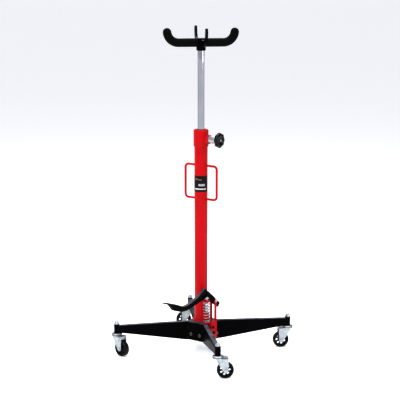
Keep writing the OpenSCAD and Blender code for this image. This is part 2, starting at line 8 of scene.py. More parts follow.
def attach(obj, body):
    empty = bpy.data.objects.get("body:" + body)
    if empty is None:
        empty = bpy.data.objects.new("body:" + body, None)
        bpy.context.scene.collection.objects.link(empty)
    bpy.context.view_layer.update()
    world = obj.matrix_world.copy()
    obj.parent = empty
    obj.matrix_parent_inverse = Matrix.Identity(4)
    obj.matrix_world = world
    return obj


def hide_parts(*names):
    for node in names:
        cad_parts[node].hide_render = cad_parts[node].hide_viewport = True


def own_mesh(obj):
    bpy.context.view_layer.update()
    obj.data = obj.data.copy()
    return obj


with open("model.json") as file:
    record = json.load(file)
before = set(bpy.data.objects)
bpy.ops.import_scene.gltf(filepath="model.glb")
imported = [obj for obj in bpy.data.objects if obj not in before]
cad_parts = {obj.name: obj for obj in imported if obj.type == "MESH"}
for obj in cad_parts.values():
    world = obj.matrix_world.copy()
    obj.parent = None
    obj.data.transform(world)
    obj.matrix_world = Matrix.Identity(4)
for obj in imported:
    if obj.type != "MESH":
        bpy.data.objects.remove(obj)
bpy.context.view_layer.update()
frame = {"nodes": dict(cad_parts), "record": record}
scene = bpy.context.scene
mm = 0.001
joints = {joint["name"]: joint for joint in frame["record"]["behaviour"]["joints"]}
columnAt = Vector(joints["saddle_turn"]["pos_m"])
casterNames = ["right", "rear", "left", "front"]
print("frame loaded,", len(frame["nodes"]), "nodes")


# Where things stand. Pieces are drawn in millimetres and these bring them to the frame in metres.

def turned(degrees, axis="Z"):
    return Matrix.Rotation(math.radians(degrees), 4, axis)


def shifted(x, y, z):
    return Matrix.Translation((x, y, z))


def onBase(turn=0):
    return Matrix.Scale(mm, 4) @ turned(turn)


def onColumn(z=0, turn=0):
    return Matrix.Translation((columnAt.x, columnAt.y, z * mm)) @ turned(turn - 45) @ Matrix.Scale(mm, 4)


def onPump(u=0, v=48, z=0):  # x runs towards the pedal, y away from the column
    return turned(-135) @ Matrix.Scale(mm, 4) @ shifted(u, v, z)


def casterTurn(name):
    stem = Vector(joints[name + "_swivel"]["pos_m"])
    axle = Vector(joints[name + "_roll"]["pos_m"])
    return math.degrees(math.atan2(axle.y - stem.y, axle.x - stem.x))


def onCaster(name):
    stem = Vector(joints[name + "_swivel"]["pos_m"])
    return Matrix.Translation((stem.x, stem.y, 0)) @ turned(casterTurn(name)) @ Matrix.Scale(mm, 4)


def onWheel(name):  # z runs along the axle
    axle = Vector(joints[name + "_roll"]["pos_m"])
    return Matrix.Translation(axle) @ turned(casterTurn(name)) @ turned(90, "X") @ Matrix.Scale(mm, 4)


# Outlines

def arc(x, y, radius, start, end, steps):
    angles = [math.radians(start + (end - start) * k / steps) for k in range(steps + 1)]
    return [(x + radius * math.cos(a), y + radius * math.sin(a)) for a in angles]


def rounded(points, radius, closed=True, steps=4):  # a point may carry its own radius as a third number
    made = []
    for k, point in enumerate(points):
        here = Vector(point[:2])
        r = point[2] if len(point) > 2 else radius
        if r == 0 or (not closed and k in (0, len(points) - 1)):
            made.append(tuple(here))
            continue
        back = Vector(points[k - 1][:2]) - here
        ahead = Vector(points[(k + 1) % len(points)][:2]) - here
        half = back.angle(ahead) / 2
        reach = min(r / math.tan(half), 0.45 * back.length, 0.45 * ahead.length)
        r = reach * math.tan(half)
        start = here + back.normalized() * reach
        end = here + ahead.normalized() * reach
        centre = here + (back.normalized() + ahead.normalized()).normalized() * (r / math.sin(half))
        sweep = math.pi - 2 * half
        for j in range(steps + 1):
            t = j / steps
            a = math.sin((1 - t) * sweep) / math.sin(sweep)
            b = math.sin(t * sweep) / math.sin(sweep)
            made.append(tuple(centre + (start - centre) * a + (end - centre) * b))
    return made


def flowing(points, steps):  # a smooth curve through every point
    points = [Vector(point) for point in points]
    made = []
    for k in range(len(points) - 1):
        a, b = points[max(k - 1, 0)], points[k]
        c, d = points[k + 1], points[min(k + 2, len(points) - 1)]
        for j in range(steps):
            t = j / steps
            made.append(0.5 * (2 * b + (c - a) * t + (2 * a - 5 * b + 4 * c - d) * t ** 2
                               + (3 * b - a - 3 * c + d) * t ** 3))
    return made + [points[-1]]


def beside(path, off):  # a flat path moved sideways, mitred at its bends
    path = [Vector(point) for point in path]
    normals = []
    for a, b in zip(path, path[1:]):
        normals.append(Vector((a.y - b.y, b.x - a.x)).normalized())
    normals = [normals[0]] + normals + [normals[-1]]
    made = []
    for k, point in enumerate(path):
        mid = (normals[k] + normals[k + 1]) / 2
        made.append(point + mid * (off / mid.length_squared))
    return made


def band(path, low, high, toe=()):
    return beside(path, high) + [Vector(point) for point in toe] + beside(path, low)[::-1]


# Mesh makers

def loft(sections, capped=True):
    mesh = bmesh.new()
    rows = [[mesh.verts.new(point) for point in section] for section in sections]
    for a, b in zip(rows, rows[1:]):
        for k in range(len(a)):
            j = (k + 1) % len(a)
            mesh.faces.new((a[k], a[j], b[j], b[k]))
    if capped:
        mesh.faces.new(rows[0][::-1])
        mesh.faces.new(rows[-1])
    bmesh.ops.recalc_face_normals(mesh, faces=mesh.faces)
    return mesh


def plate(outline, low, high):  # outline in x and y, thickness along z
    return loft([[(x, y, z) for x, y in outline] for z in (low, high)])


def lathe(profile, steps):  # profile of radius and height, turned about z
    mesh = bmesh.new()
    points = [mesh.verts.new((r, 0, z)) for r, z in profile]
    pairs = list(zip(points, points[1:]))
    if profile[0][0] > 0:
        pairs.append((points[-1], points[0]))
    edges = [mesh.edges.new(pair) for pair in pairs]
    bmesh.ops.spin(mesh, geom=points + edges, axis=(0, 0, 1), cent=(0, 0, 0), steps=steps,
                   angle=2 * math.pi, use_merge=False)
    bmesh.ops.remove_doubles(mesh, verts=mesh.verts, dist=0.0005)
    bmesh.ops.recalc_face_normals(mesh, faces=mesh.faces)
    return mesh


def disc(radius, low, high, edge, bore=0, steps=48):  # a washer, collar or plain rod
    if bore:
        outline = [(bore, low), (radius, low), (radius, high), (bore, high)]
        return lathe(rounded(outline, edge, steps=3), steps)
    outline = [(0, low), (radius, low, edge), (radius, high, edge), (0, high)]
    return lathe(rounded(outline, edge, closed=False, steps=3), steps)


def tube(path, radius, sides, capped=True):  # radius may be a function of the share of the path
    path = [Vector(point) for point in path]
    rings = []
    side = None
    for k, point in enumerate(path):
        ahead = (path[min(k + 1, len(path) - 1)] - path[max(k - 1, 0)]).normalized()
        if side is None:
            side = ahead.orthogonal().normalized()
        side = (side - ahead * side.dot(ahead)).normalized()
        up = ahead.cross(side)
        r = radius(k / (len(path) - 1)) if callable(radius) else radius
        turns = [2 * math.pi * j / sides for j in range(sides)]
        rings.append([point + side * (r * math.cos(a)) + up * (r * math.sin(a)) for a in turns])
    return loft(rings, capped)


bead = {"step": 1.2, "ripple": 0.1, "pitch": 1.7, "sides": 8}


def weldBead(points, size):  # a rippled bead along a line
    fine = []
    for a, b in zip(points, points[1:]):
        a, b = Vector(a), Vector(b)
        count = max(2, round((b - a).length / bead["step"]))
        fine += [a.lerp(b, j / count) for j in range(count)]
    fine.append(Vector(points[-1]))
    turns = len(fine) * bead["pitch"]
    return tube(fine, lambda t: size * (1 + bead["ripple"] * math.sin(t * turns)), bead["sides"])


def weldRing(radius, z, size):
    return weldBead([(x, y, z) for x, y in arc(0, 0, radius, 0, 360, 64)], size)


def hexHead(flats, low, high):  # a bolt head or nut with its corners turned down
    corner = flats / 2 / math.cos(math.radians(30))
    turns = [math.radians(60 * k) for k in range(6)]
    sections = []
    for up, share in ((0, 0.97), (0.05, 1), (0.88, 1), (1, 0.9), (1, 0.72)):
        r, z = corner * share, low + (high - low) * up
        sections.append([(r * math.cos(a), r * math.sin(a), z) for a in turns])
    return loft(sections)


def joined(*parts):  # each part is a mesh, or a mesh and the matrix that places it
    whole = bmesh.new()
    for part in parts:
        mesh, matrix = part if isinstance(part, tuple) else (part, None)
        if matrix:
            mesh.transform(matrix)
        scrap = bpy.data.meshes.new("scrap")
        mesh.to_mesh(scrap)
        mesh.free()
        whole.from_mesh(scrap)
        bpy.data.meshes.remove(scrap)
    return whole


creaseAngle = 38


def makePiece(name, mesh, matrix, material, body, stands, bevel=0, sharp=creaseAngle):
    mesh.transform(matrix)
    data = bpy.data.meshes.new(name)
    mesh.to_mesh(data)
    mesh.free()
    piece = bpy.data.objects.new(name, data)
    scene.collection.objects.link(piece)
    data.materials.append(material)
    data.shade_smooth()
    data.set_sharp_from_angle(angle=math.radians(sharp))
    if bevel:
        soften(piece, bevel)
    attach(piece, body)
    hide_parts(*stands)
    return piece


def soften(piece, width):
    edge = piece.modifiers.new("edges", "BEVEL")
    edge.width = width * mm
    edge.segments = 3
    edge.limit_method = "ANGLE"
    edge.angle_limit = math.radians(creaseAngle)


def drill(piece, cutter):  # cuts a mesh out of a piece and keeps the result
    data = bpy.data.meshes.new("cutter")
    cutter.to_mesh(data)
    cutter.free()
    tool = bpy.data.objects.new("cutter", data)
    scene.collection.objects.link(tool)
    cut = piece.modifiers.new("cut", "BOOLEAN")
    cut.operation = "DIFFERENCE"
    cut.solver = "EXACT"
    cut.object = tool
    bpy.context.view_layer.update()
    seen = piece.evaluated_get(bpy.context.evaluated_depsgraph_get())
    made = bpy.data.meshes.new_from_object(seen)
    piece.modifiers.remove(cut)
    piece.data = made
    made.set_sharp_from_angle(angle=math.radians(creaseAngle))
    bpy.data.objects.remove(tool)
    bpy.data.meshes.remove(data)


# Finishes

def startFinish(name, slot):
    material = bpy.data.materials.new(name)
    material.use_nodes = True
    material["slot"] = slot
    tree = material.node_tree
    place = tree.nodes.new("ShaderNodeTexCoord").outputs["Object"]
    return material, tree, tree.nodes["Principled BSDF"], place


def noise(tree, place, scale, detail=4, rough=0.55, stretch=None):
    if stretch:
        mapping = tree.nodes.new("ShaderNodeMapping")
        mapping.inputs["Scale"].default_value = stretch
        tree.links.new(place, mapping.inputs["Vector"])
        place = mapping.outputs["Vector"]
    node = tree.nodes.new("ShaderNodeTexNoise")
    node.inputs["Scale"].default_value = scale
    node.inputs["Detail"].default_value = detail
    node.inputs["Roughness"].default_value = rough
    tree.links.new(place, node.inputs["Vector"])
    return node.outputs["Fac"]


def ramp(tree, value, low, high, first=0.0, last=1.0):  # maps low..high to first..last, and no further
    node = tree.nodes.new("ShaderNodeMapRange")
    for name, number in zip(("From Min", "From Max", "To Min", "To Max"), (low, high, first, last)):
        node.inputs[name].default_value = number
    tree.links.new(value, node.inputs["Value"])
    return node.outputs["Result"]


def combine(tree, kind, a, b):
    node = tree.nodes.new("ShaderNodeMath")
    node.operation = kind
    node.use_clamp = True
    for socket, value in zip(node.inputs, (a, b)):
        if isinstance(value, (int, float)):
            socket.default_value = value
        else:
            tree.links.new(value, socket)
    return node.outputs[0]


def mixColour(tree, share, a, b):
    node = tree.nodes.new("ShaderNodeMix")
    node.data_type = "RGBA"  # its colours are inputs 6 and 7 and output 2
    tree.links.new(share, node.inputs[0])
    for socket, value in zip((node.inputs[6], node.inputs[7]), (a, b)):
        if isinstance(value, tuple):
            socket.default_value = (*value, 1)
        else:
            tree.links.new(value, socket)
    return node.outputs[2]


def bumps(tree, shader, height, strength, distance=0.0004):
    node = tree.nodes.new("ShaderNodeBump")
    node.inputs["Strength"].default_value = strength
    node.inputs["Distance"].default_value = distance
    tree.links.new(height, node.inputs["Height"])
    tree.links.new(node.outputs["Normal"], shader.inputs["Normal"])


def edgeWearAndHighlight(tree, place, radius, low, high):  # 1 on worn corners and painted edge highlights, broken up by noise
    soft = tree.nodes.new("ShaderNodeBevel")
    soft.samples = 4
    soft.inputs["Radius"].default_value = radius
    flat = tree.nodes.new("ShaderNodeNewGeometry").outputs["Normal"]
    dot = tree.nodes.new("ShaderNodeVectorMath")
    dot.operation = "DOT_PRODUCT"
    tree.links.new(soft.outputs["Normal"], dot.inputs[0])
    tree.links.new(flat, dot.inputs[1])
    edge = ramp(tree, dot.outputs["Value"], 0.995, 0.86)
    patch = ramp(tree, noise(tree, place, 55, 5, 0.65), low, high)
    return combine(tree, "MULTIPLY", edge, patch)


def paintedSteel(name, slot, look):
    material, tree, shader, place = startFinish(name, slot)
    cloud = noise(tree, place, look["cloudScale"], 3)
    colour = mixColour(tree, ramp(tree, cloud, 0.35, 0.7), look["colour"], look["fade"])
    dust = ramp(tree, noise(tree, place, 23, 6, 0.7), 0.52, 0.8, 0, look["dust"])
    colour = mixColour(tree, dust, colour, look["dustColour"])
    wear_and_highlight_mask = edgeWearAndHighlight(tree, place, look["edgeMaskRadius"], look["edgeMaskLow"], look["edgeMaskHigh"])
    # edge colour: partly wear, partly painted highlight; the light grey on black edges stands for
    # highlights along them
    colour = mixColour(tree, wear_and_highlight_mask, colour, look["bareAndHighlightEdge"])
    facing = tree.nodes.new("ShaderNodeSeparateXYZ")  # painted highlight: what faces up is lightened towards this colour, as if lit from above
    tree.links.new(tree.nodes.new("ShaderNodeNewGeometry").outputs["Normal"], facing.inputs[0])
    film = ramp(tree, noise(tree, place, 30, 5, 0.7), 0.32, 0.6, 0.25, 1)
    film = combine(tree, "MULTIPLY", film, ramp(tree, facing.outputs["Z"], 0.75, 0.98, 0, look["film"]))
    colour = mixColour(tree, film, colour, look["topHighlightColour"])
    tree.links.new(colour, shader.inputs["Base Color"])
    smear = ramp(tree, noise(tree, place, 14, 5, 0.6), 0.3, 0.75, look["roughLow"], look["roughHigh"])
    rough = combine(tree, "ADD", smear, combine(tree, "MULTIPLY", wear_and_highlight_mask, 0.15))
    tree.links.new(rough, shader.inputs["Roughness"])
    shader.inputs["IOR"].default_value = look["ior"]
    shader.inputs["Specular IOR Level"].default_value = look["gloss"]
    skin = noise(tree, place, look["peelScale"], 2)
    bumps(tree, shader, skin, look["peel"])
    return material


def plated(name, slot, look):
    material, tree, shader, place = startFinish(name, slot)
    shader.inputs["Metallic"].default_value = look["metal"]
    shader.inputs["Specular Tint"].default_value = (*look.get("edge", (1, 1, 1)), 1)
    cloud = ramp(tree, noise(tree, place, look["cloudScale"], 5, 0.6), 0.35, 0.68)
    colour = mixColour(tree, cloud, look["colour"], look["fade"])
    grime = ramp(tree, noise(tree, place, 38, 6, 0.7), 0.55, 0.78, 0, look["grime"])
    colour = mixColour(tree, grime, colour, look["grimeColour"])
    tree.links.new(colour, shader.inputs["Base Color"])
    scratch = noise(tree, place, look["scratchScale"], 4, 0.6, look["stretch"])
    rough = ramp(tree, scratch, 0.3, 0.72, look["roughLow"], look["roughHigh"])
    rough = combine(tree, "ADD", rough, combine(tree, "MULTIPLY", grime, 0.4))
    tree.links.new(rough, shader.inputs["Roughness"])
    bumps(tree, shader, scratch, look["scratch"], 0.0002)
    return material


def moulded(name, slot, look):
    material, tree, shader, place = startFinish(name, slot)
    cloud = ramp(tree, noise(tree, place, look["cloudScale"], 4), 0.35, 0.7)
    colour = mixColour(tree, cloud, look["colour"], look["fade"])
    scuff = ramp(tree, noise(tree, place, 60, 6, 0.75), 0.56, 0.78, 0, look["scuff"])
    colour = mixColour(tree, scuff, colour, look["scuffColour"])
    tree.links.new(colour, shader.inputs["Base Color"])
    tree.links.new(ramp(tree, cloud, 0, 1, look["roughLow"], look["roughHigh"]), shader.inputs["Roughness"])
    shader.inputs["Specular IOR Level"].default_value = look["gloss"]
    pebble = tree.nodes.new("ShaderNodeTexVoronoi")
    pebble.inputs["Scale"].default_value = look["grainScale"]
    tree.links.new(place, pebble.inputs["Vector"])
    bumps(tree, shader, pebble.outputs["Distance"], look["grain"])
    return material


redEnamel = paintedSteel("red_enamel", "red_paint", {
    "colour": (0.50, 0.004, 0.010), "fade": (0.42, 0.003, 0.008), "cloudScale": 5,
    "dust": 0.12, "dustColour": (0.34, 0.02, 0.02),
    "bareAndHighlightEdge": (0.30, 0.012, 0.012), "edgeMaskRadius": 0.0014, "edgeMaskLow": 0.5, "edgeMaskHigh": 0.68,
    "roughLow": 0.28, "roughHigh": 0.44, "gloss": 0.5, "ior": 1.25,
    # painted highlight: the upward faces are lightened towards this colour
    "film": 0.2, "topHighlightColour": (0.55, 0.08, 0.08),
    "peelScale": 420, "peel": 0.10})
blackEnamel = paintedSteel("black_enamel", "black_paint", {
    "colour": (0.0022, 0.0022, 0.0026), "fade": (0.004, 0.004, 0.005), "cloudScale": 7,
    "dust": 0.10, "dustColour": (0.012, 0.012, 0.013),
    # painted edge highlight, partly wear: the edges are lightened to this grey
    "bareAndHighlightEdge": (0.10, 0.10, 0.11), "edgeMaskRadius": 0.0016, "edgeMaskLow": 0.5, "edgeMaskHigh": 0.7,
    "roughLow": 0.22, "roughHigh": 0.36, "gloss": 0.5, "ior": 1.08,
    # painted highlight: the upward faces are lightened towards this grey
    "film": 0.75, "topHighlightColour": (0.20, 0.21, 0.24),
    "peelScale": 500, "peel": 0.12})
darkBolt = paintedSteel("dark_bolt", "black_paint", {
    "colour": (0.010, 0.010, 0.012), "fade": (0.03, 0.03, 0.033), "cloudScale": 90,
    "dust": 0.2, "dustColour": (0.05, 0.05, 0.05),
    # painted edge highlight, partly wear: the edges are lightened to this grey
    "bareAndHighlightEdge": (0.35, 0.35, 0.37), "edgeMaskRadius": 0.0012, "edgeMaskLow": 0.35, "edgeMaskHigh": 0.55,
    "roughLow": 0.2, "roughHigh": 0.32, "gloss": 0.6, "ior": 1.5,
    # painted highlight: the upward faces are lightened towards this grey
    "film": 0.8, "topHighlightColour": (0.30, 0.31, 0.33),
    "peelScale": 500, "peel": 0.1})
zincPlate = plated("zinc_plate", "zinc_plate", {
    "colour": (0.33, 0.36, 0.38), "fade": (0.50, 0.53, 0.55), "cloudScale": 60, "metal": 0.9,
    "grime": 0.35, "grimeColour": (0.30, 0.29, 0.27), "scratchScale": 160, "stretch": (1, 1, 4),
    "roughLow": 0.22, "roughHigh": 0.46, "scratch": 0.10})
groundSteel = plated("ground_steel", "plain_steel", {
    "colour": (0.42, 0.42, 0.43), "fade": (0.55, 0.55, 0.56), "cloudScale": 40, "metal": 1,
    "grime": 0.5, "grimeColour": (0.16, 0.13, 0.10), "scratchScale": 240, "stretch": (1, 1, 6),
    "roughLow": 0.25, "roughHigh": 0.5, "scratch": 0.12})
ramChrome = plated("ram_chrome", "hard_chrome", {
    "colour": (0.58, 0.57, 0.60), "fade": (0.48, 0.51, 0.56), "cloudScale": 9, "metal": 1,
    "edge": (0.16, 0.20, 0.28),
    "grime": 0.08, "grimeColour": (0.45, 0.44, 0.42), "scratchScale": 300, "stretch": (1, 1, 0.05),
    "roughLow": 0.07, "roughHigh": 0.16, "scratch": 0.02})
guideBronze = plated("guide_bronze", "bronze", {
    "colour": (0.55, 0.36, 0.15), "fade": (0.66, 0.47, 0.22), "cloudScale": 50, "metal": 1,
    "grime": 0.4, "grimeColour": (0.16, 0.10, 0.05), "scratchScale": 200, "stretch": (1, 1, 5),
    "roughLow": 0.28, "roughHigh": 0.5, "scratch": 0.1})
foamSleeve = moulded("foam_sleeve", "soft_sleeve", {
    "colour": (0.0022, 0.0022, 0.0024), "fade": (0.004, 0.004, 0.0042), "cloudScale": 18,
    "scuff": 0.2, "scuffColour": (0.012, 0.012, 0.012), "roughLow": 0.62, "roughHigh": 0.82,
    "gloss": 0.08, "grainScale": 900, "grain": 0.35})
sealRubber = moulded("seal_rubber", "seal_rubber", {
    "colour": (0.010, 0.010, 0.010), "fade": (0.018, 0.018, 0.018), "cloudScale": 40,
    "scuff": 0.3, "scuffColour": (0.06, 0.05, 0.045), "roughLow": 0.45, "roughHigh": 0.65,
    "gloss": 0.4, "grainScale": 1200, "grain": 0.1})
wheelNylon = moulded("wheel_nylon", "wheel_plastic", {
    "colour": (0.003, 0.003, 0.0035), "fade": (0.007, 0.007, 0.008), "cloudScale": 35,
    "scuff": 0.4, "scuffColour": (0.03, 0.03, 0.03), "roughLow": 0.3, "roughHigh": 0.5,
    "gloss": 0.2, "grainScale": 700, "grain": 0.08})
knobResin = moulded("knob_resin", "knob_plastic", {
    "colour": (0.002, 0.002, 0.0024), "fade": (0.004, 0.004, 0.0045), "cloudScale": 40,
    "scuff": 0.15, "scuffColour": (0.03, 0.03, 0.03), "roughLow": 0.12, "roughHigh": 0.24,
    "gloss": 0.28, "grainScale": 500, "grain": 0.04})


def printedFilm(look):  # dark film with plain bars and one warm dash, and no lettering
    material, tree, shader, place = startFinish("printed_film", "label_film")
    spots = tree.nodes.new("ShaderNodeUVMap")
    split = tree.nodes.new("ShaderNodeSeparateXYZ")
    tree.links.new(spots.outputs["UV"], split.inputs[0])

    def block(left, right, low, high):
        inside = None
        for axis, edge, kind in ((0, left, "GREATER_THAN"), (0, right, "LESS_THAN"),
                                 (1, low, "GREATER_THAN"), (1, high, "LESS_THAN")):
            step = combine(tree, kind, split.outputs[axis], edge)
            inside = step if inside is None else combine(tree, "MULTIPLY", inside, step)
        return inside

    wear = ramp(tree, noise(tree, place, 90, 5, 0.7), 0.36, 0.5, 0.55, 1)
    colour = mixColour(tree, ramp(tree, noise(tree, place, 30, 4), 0.3, 0.7), look["film"], look["fade"])
    for area, ink in look["blocks"]:
        colour = mixColour(tree, combine(tree, "MULTIPLY", block(*area), wear), colour, ink)
    tree.links.new(colour, shader.inputs["Base Color"])
    tree.links.new(ramp(tree, noise(tree, place, 40, 4), 0.3, 0.7, 0.28, 0.42), shader.inputs["Roughness"])
    shader.inputs["Specular IOR Level"].default_value = 0.15
    bumps(tree, shader, noise(tree, place, 70, 3), 0.08)
    return material


labelFilm = printedFilm({
    "film": (0.005, 0.005, 0.006), "fade": (0.018, 0.018, 0.020),
    "blocks": [((0.25, 0.42, 0.76, 0.84), (0.50, 0.10, 0.03)),
               ((0.45, 0.62, 0.74, 0.78), (0.30, 0.28, 0.26)),
               ((0.45, 0.80, 0.36, 0.50), (0.42, 0.42, 0.43)),
               ((0.22, 0.88, 0.14, 0.22), (0.62, 0.62, 0.63))]})
slotFinish = {"red_paint": redEnamel, "black_paint": blackEnamel, "zinc_plate": zincPlate,
              "plain_steel": groundSteel, "hard_chrome": ramChrome, "soft_sleeve": foamSleeve,
              "seal_rubber": sealRubber, "wheel_plastic": wheelNylon, "knob_plastic": knobResin,
              "bronze": guideBronze, "label_film": labelFilm}
print("finishes ready:", len(slotFinish))


# Every part of the frame gets its finish, and those that keep their own shape get softened edges

keptEdges = {"base_box": 1.5, "pump_block": 1.6, "block_screws": 0.4, "fulcrum_links": 1.2,
             "release_screw": 0.5, "press_pad": 0.8}
for part in frame["record"]["subparts"]:
    node = frame["nodes"][part["node"]]
    for k in range(len(node.material_slots)):
        node.material_slots[k].material = slotFinish[part["material_slot"]]
    if part["node"] in keptEdges:
        weld = node.modifiers.new("weld", "WELD")
        weld.merge_threshold = 0.00002
        soften(node, keptEdges[part["node"]])
print("kept parts finished")


# Legs: a tapered folded channel, two bolted wings and the caster socket

leg = {"halfWidth": 13, "wall": 4, "fold": 6, "corner": 79.2, "rootTop": 147, "rootLow": 60,
       "tipTop": 141, "tipLow": 108, "end": 398, "reach": 405, "socketRadius": 12.5,
       "socketLow": 105, "socketBore": 8.2, "faceAt": 56, "wing": 5, "wingFrom": 8, "lip": 1.6,
       "steps": 10}


def legSection(x, top, low, slant=False):
    w, t, lip, fold = leg["halfWidth"], leg["wall"], leg["lip"], leg["fold"]
    outline = [(-w, low), (-w, top, fold), (w, top, fold), (w, low),
               (w - t, low), (w - t, top - t, fold - t), (t - w, top - t, fold - t), (t - w, low)]
    return [(x - abs(y) if slant else x, y, z) for y, z in rounded(outline, lip)]


def legMesh():
    sections = [legSection(leg["corner"], leg["rootTop"], leg["rootLow"], slant=True)]
    for k in range(leg["steps"] + 1):
        t = k / leg["steps"]
        x = leg["corner"] + 1 + (leg["end"] - leg["corner"] - 1) * t
        top = leg["rootTop"] + (leg["tipTop"] - leg["rootTop"]) * t
        low = leg["rootLow"] + (leg["tipLow"] - leg["rootLow"]) * t
        sections.append(legSection(x, top, low))
    parts = [loft(sections)]
    for side in (1, -1):
        far = leg["wingFrom"] - leg["faceAt"]
        outline = [(far, leg["rootLow"] + 2), (-0.5, leg["rootLow"] + 2, 3),
                   (-0.5, leg["rootTop"] - 2, 3), (far, leg["rootTop"] - 2)]
        wing = plate([(side * y, z) for y, z in rounded(outline, 1.5)], 0, leg["wing"])
        stand = turned(side * 45) @ shifted(leg["faceAt"], 0, 0) @ turned(90) @ turned(90, "X")
        parts.append((wing, stand))
        joint = leg["faceAt"] * math.sqrt(2) + leg["wing"] * math.sqrt(2) - leg["halfWidth"]
        y = side * leg["halfWidth"]
        parts.append(weldBead([(joint, y, leg["rootLow"] + 4), (joint, y, leg["rootTop"] - 6)], 2.6))
    r, reach, low = leg["socketRadius"], leg["reach"], leg["socketLow"]
    parts.append((disc(r, low, leg["rootTop"], 1.2, bore=leg["socketBore"]), shifted(reach, 0, 0)))
    for side in (1, -1):
        x, y = reach - r * 0.62, side * r * 0.84  # just outside the socket's wall
        parts.append(weldBead([(x, y, low + 4), (x, y, leg["tipTop"] - 3)], 1.8))
    return joined(*parts)


for k, name in enumerate(casterNames):
    makePiece("folded_leg_" + name, legMesh(), onBase(90 * k), blackEnamel, "base", ["leg_" + name],
              bevel=0.7)

legBolt = {"flats": 13, "height": 5.5, "washer": 8.2, "thin": 1.2, "off": 25, "z": 90, "shank": 4,
           "long": 17}


def legBoltMeshes():
    face, thin = leg["faceAt"] + leg["wing"], legBolt["thin"]
    for k in range(4):
        for side in (-1, 1):
            hole = shifted(face, side * legBolt["off"], legBolt["z"])
            place = turned(45 + 90 * k) @ hole @ turned(90, "Y")
            tight = place @ turned(17 * k + 23 * side)  # no two heads stopped at the same angle
            yield disc(legBolt["washer"], 0, thin, 0.4), place
            yield hexHead(legBolt["flats"], thin, legBolt["height"]), tight
            yield disc(legBolt["shank"], -legBolt["long"], 0.5, 0.5, steps=24), place


makePiece("leg_bolt_set", joined(*legBoltMeshes()), onBase(), darkBolt, "base", ["leg_bolts"])

footPlate = {"halfLength": 43, "halfWidth": 35, "corner": 2, "low": 147, "high": 151}
x, y = footPlate["halfLength"], footPlate["halfWidth"]
footOutline = rounded([(-x, -y), (x, -y), (x, y), (-x, y)], footPlate["corner"])
makePiece("column_foot", plate(footOutline, footPlate["low"], footPlate["high"]), onBase(-45), redEnamel,
          "base", ["top_plate"], bevel=0.8)
print("legs made")


# Casters

caster = {"raceLow": 100, "raceRadius": 25, "raceBore": 8, "raceThick": 5, "crownLow": 92,
          "crownHigh": 96, "crownRadius": 24, "cheekIn": 16, "cheek": 3, "trail": 33, "axleZ": 37.5,
          "boss": 8.5}
nut = {"seat": 147, "washer": 12, "thin": 2, "flats": 19, "high": 9, "dome": 8.6, "domeHeight": 7}


def capNut():
    washerTop, hexTop = nut["seat"] + nut["thin"], nut["seat"] + nut["high"]
    r, rise = nut["dome"], nut["domeHeight"]
    angles = [math.radians(10 * k) for k in range(9)]
    cap = [(0, hexTop - 0.5), (r, hexTop - 0.5)]
    cap += [(r * math.cos(a), hexTop + rise * math.sin(a)) for a in angles] + [(0, hexTop + rise)]
    return joined(disc(nut["washer"], nut["seat"], washerTop, 0.6),
                  hexHead(nut["flats"], washerTop, hexTop), lathe(cap, 32))


def raceMesh():
    low, r, bore = caster["raceLow"], caster["raceRadius"], caster["raceBore"]
    high = low + caster["raceThick"]
    outline = [(bore, low + 2), (bore + 5, low, 1), (r - 3, low, 1), (r, low - 0.1, 0.8),
               (r, low + 2.6, 1.2), (r - 5, high, 2), (bore, high)]
    return lathe(rounded(outline, 0.5, steps=3), 56)


def forkMesh():
    c = caster
    low, high, r, half = c["crownLow"], c["crownHigh"], c["crownRadius"], c["cheekIn"] + c["cheek"]
    meet = math.degrees(math.asin(half / r))
    far = c["trail"] + 12
    crown = arc(0, 0, r, meet, 360 - meet, 28)
    crown += [(far - 3, -half), (far, 3 - half), (far, half - 3), (far - 3, half)]
    ring = [(8.2, high - 1), (19.5, high - 1), (18, high + 1.6, 1), (12, high + 1.6, 1), (8.2, high)]
    parts = [plate(crown, low, high), lathe(rounded(ring, 0.3, steps=3), 48)]
    cheekOutline = [(-9, high - 0.6), (-10, high - 9), *arc(c["trail"], c["axleZ"], 11, 208, 340, 12),
                    (far, high - 26), (far, high - 0.6)]
    for side in (1, -1):
        cheek = plate(rounded(cheekOutline, 2.5, steps=3), -c["cheek"] / 2, c["cheek"] / 2)
        parts.append((cheek, shifted(0, side * (c["cheekIn"] + c["cheek"] / 2), 0) @ turned(90, "X")))
        boss = disc(c["boss"], -0.4, 0.7, 0.3, steps=32)
        parts.append((boss, shifted(c["trail"], side * half, c["axleZ"]) @ turned(-90 * side, "X")))
    return joined(*parts)


wheel = {"radius": 37.5, "halfWidth": 13, "bore": 4.2, "hub": 9.5, "hubHalf": 15, "disc": 11, "rim": 28.2,
         "windows": 7, "windowRadius": 6.2, "windowAt": 19.2}


def wheelMesh():
    r, w = wheel["radius"], wheel["halfWidth"]
    hub, rim = wheel["hubHalf"], wheel["rim"]
    side = [(wheel["bore"], hub, 0.5), (wheel["hub"], hub, 1.2), (wheel["disc"], 6.5, 2),
            (rim - 2.7, 5.5, 2.5), (rim, w - 1.6, 1), (rim + 1.2, w, 0.8), (rim + 5.4, w, 2.2),
            (r - 0.5, w - 4, 1.4), (r, w - 8, 4), (r, 1.4, 0), (r - 0.35, 0.7, 0)]
    outline = side + [(x, -z, e) for x, z, e in side[::-1]]
    return lathe(rounded(outline, 0.8, steps=3), 84)


def windowCutter():
    holes = []
    for k in range(wheel["windows"]):
        hole = plate(arc(0, 0, wheel["windowRadius"], 0, 345, 23), -12, 12)
        holes.append((hole, turned(360 / wheel["windows"] * k) @ shifted(wheel["windowAt"], 0, 0)))
    return joined(*holes)


axle = {"radius": 3.9, "washer": 8, "washerTop": 1.4, "flats": 13, "headTop": 4, "headTurn": 12}


